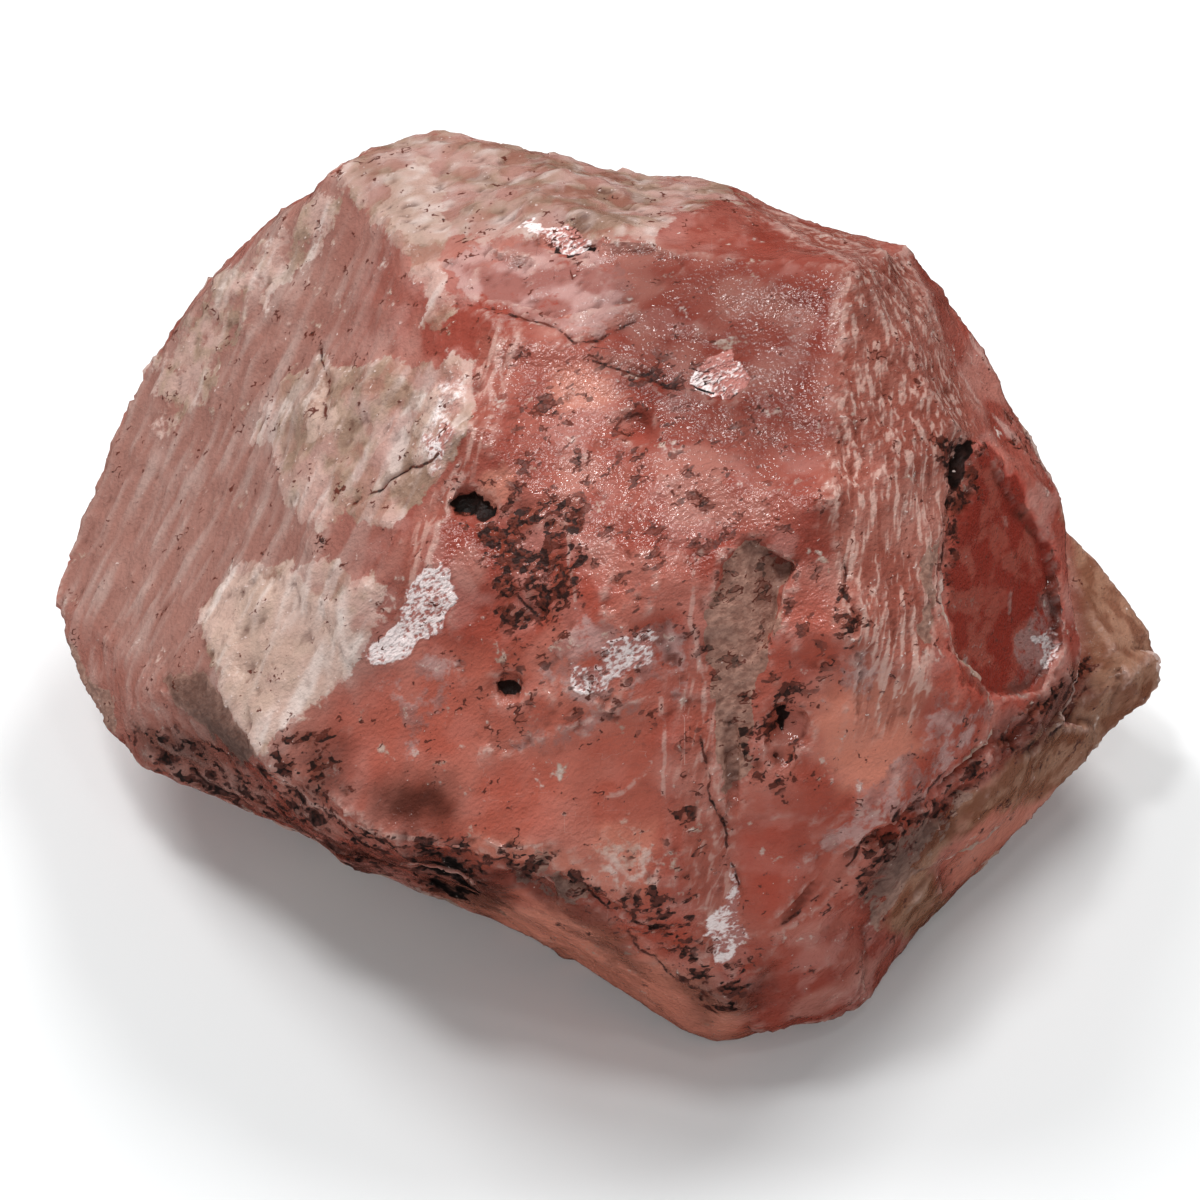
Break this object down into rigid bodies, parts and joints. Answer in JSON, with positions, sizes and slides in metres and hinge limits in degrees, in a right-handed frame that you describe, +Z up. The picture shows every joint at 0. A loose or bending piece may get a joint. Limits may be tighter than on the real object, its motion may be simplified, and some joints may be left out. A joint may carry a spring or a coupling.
{
  "type": "morganite specimen",
  "caption": "Rough pink beryl lump with a broad salmon face, pale skins at the left, brown stains and a clearer buff rim at the right.",
  "frame": {"origin": "middle of the bounding box, on the flat resting face", "axes": "+Z up; the broad face leans back and looks toward -Y and up; the clearer buff rim is at +X"},
  "size_m": [0.0718, 0.0564, 0.0393],
  "materials": {
    "beryl": "broken pink beryl, glassy and slightly see-through, frosted and stained in patches"
  },
  "bodies": {
    "root": {"morganite": "beryl"}
  },
  "joints": []
}
